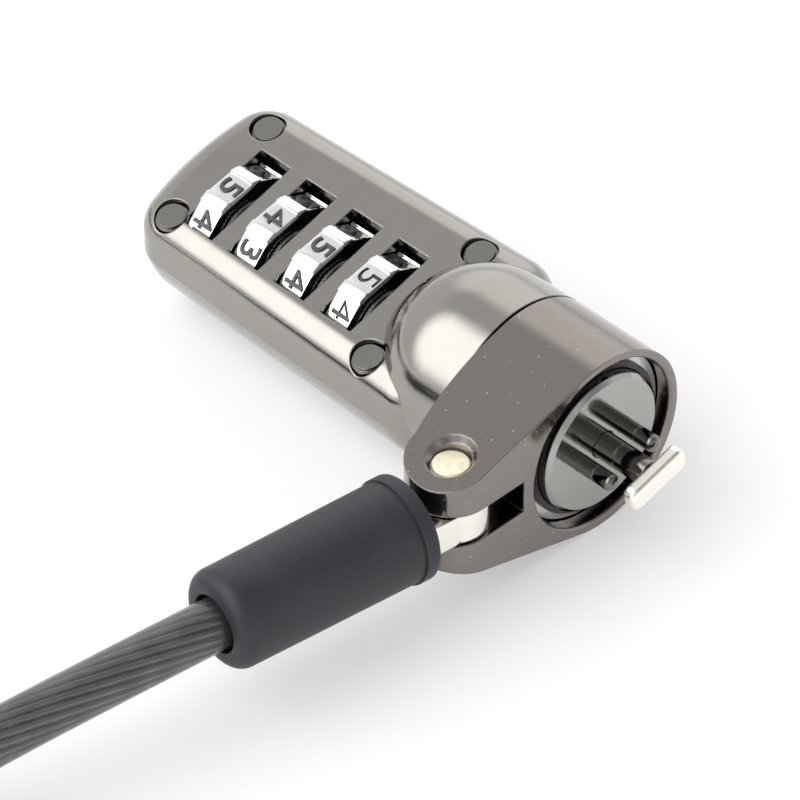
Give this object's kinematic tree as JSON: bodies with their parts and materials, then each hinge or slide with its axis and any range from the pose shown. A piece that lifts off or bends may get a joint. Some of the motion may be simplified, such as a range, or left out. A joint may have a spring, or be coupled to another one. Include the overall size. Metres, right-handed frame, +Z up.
{
  "type": "laptop cable lock",
  "caption": "Combination cable lock for a laptop slot: dial housing, T-head nose with guard pins, swivelling collar, rubber sleeve and coiled steel cable.",
  "frame": {"origin": "on the barrel's axis, in the plane of the nose disk and the collar's front face", "axes": "+X along the barrel out of the nose, +Z up from the table that the lock lies on; the cable lug points along -Y and the dial housing is rolled 15.2 degrees about X"},
  "size_m": [0.1592, 0.1354, 0.0188],
  "materials": {
    "dark_nickel": "polished dark nickel plate on die-cast zinc",
    "bright_chrome": "bright chrome plate",
    "black_chrome": "polished black chrome plate",
    "neck_black": "blackened steel",
    "warm_nickel": "polished warm nickel plate",
    "steel": "plain steel",
    "brass": "turned brass",
    "plug_black": "dark polished plug",
    "sleeve_rubber": "matt moulded rubber",
    "cable_jacket": "smoky clear jacket over steel strands"
  },
  "bodies": {
    "housing": {"upper_housing": "dark_nickel", "lower_housing": "dark_nickel", "housing_screws": "steel", "screw_plugs": "plug_black", "dial_washers": "steel", "detent_strip": "steel", "shaft_spring": "steel", "barrel_neck": "neck_black", "spindle_pin": "steel", "stop_pin": "steel", "plug_spring": "steel", "retaining_ring": "steel", "spindle": "black_chrome", "t_head": "warm_nickel"},
    "nose": {"nose_plug": "black_chrome", "guard_pins": "black_chrome"},
    "shaft": {"locking_shaft": "steel"},
    "dial_1": {"dial_1": "bright_chrome", "code_ring_1": "brass"},
    "dial_2": {"dial_2": "bright_chrome", "code_ring_2": "brass"},
    "dial_3": {"dial_3": "bright_chrome", "code_ring_3": "brass"},
    "dial_4": {"dial_4": "bright_chrome", "code_ring_4": "brass"},
    "collar": {"cable_collar": "dark_nickel", "lug_rivet": "warm_nickel"},
    "cable": {"cable_tongue": "warm_nickel", "cable_ferrule": "steel", "cable_sleeve": "sleeve_rubber", "cable_tube": "cable_jacket", "cable_coil": "cable_jacket", "cable_tail": "cable_jacket", "eye_ferrule": "steel", "cable_eye": "cable_jacket"}
  },
  "joints": [
    {"name": "nose_turn", "type": "hinge", "parent": "housing", "child": "nose", "pos_m": [0, 0, 0], "axis": [1, 0, 0], "range_deg": [0, 90]},
    {"name": "shaft_slide", "type": "slide", "parent": "housing", "child": "shaft", "axis": [1, 0, 0], "range_m": [0, 0.0012]},
    {"name": "dial_1_turn", "type": "hinge", "parent": "housing", "child": "dial_1", "pos_m": [0, -0.0014, -0.00126], "axis": [1, 0, 0], "continuous": true},
    {"name": "dial_2_turn", "type": "hinge", "parent": "housing", "child": "dial_2", "pos_m": [0, -0.0014, -0.00126], "axis": [1, 0, 0], "continuous": true},
    {"name": "dial_3_turn", "type": "hinge", "parent": "housing", "child": "dial_3", "pos_m": [0, -0.0014, -0.00126], "axis": [1, 0, 0], "continuous": true},
    {"name": "dial_4_turn", "type": "hinge", "parent": "housing", "child": "dial_4", "pos_m": [0, -0.0014, -0.00126], "axis": [1, 0, 0], "continuous": true},
    {"name": "collar_swivel", "type": "hinge", "parent": "housing", "child": "collar", "pos_m": [0, 0, 0], "axis": [1, 0, 0], "continuous": true},
    {"name": "tongue_swing", "type": "hinge", "parent": "collar", "child": "cable", "pos_m": [-0.0039, -0.0151, 0], "axis": [0, 0, 1], "range_deg": [-50, 64]}
  ],
  "couplings": [
    {"joint": "shaft_slide", "follows": "nose_turn", "m_per_rad": 0.00076394}
  ]
}
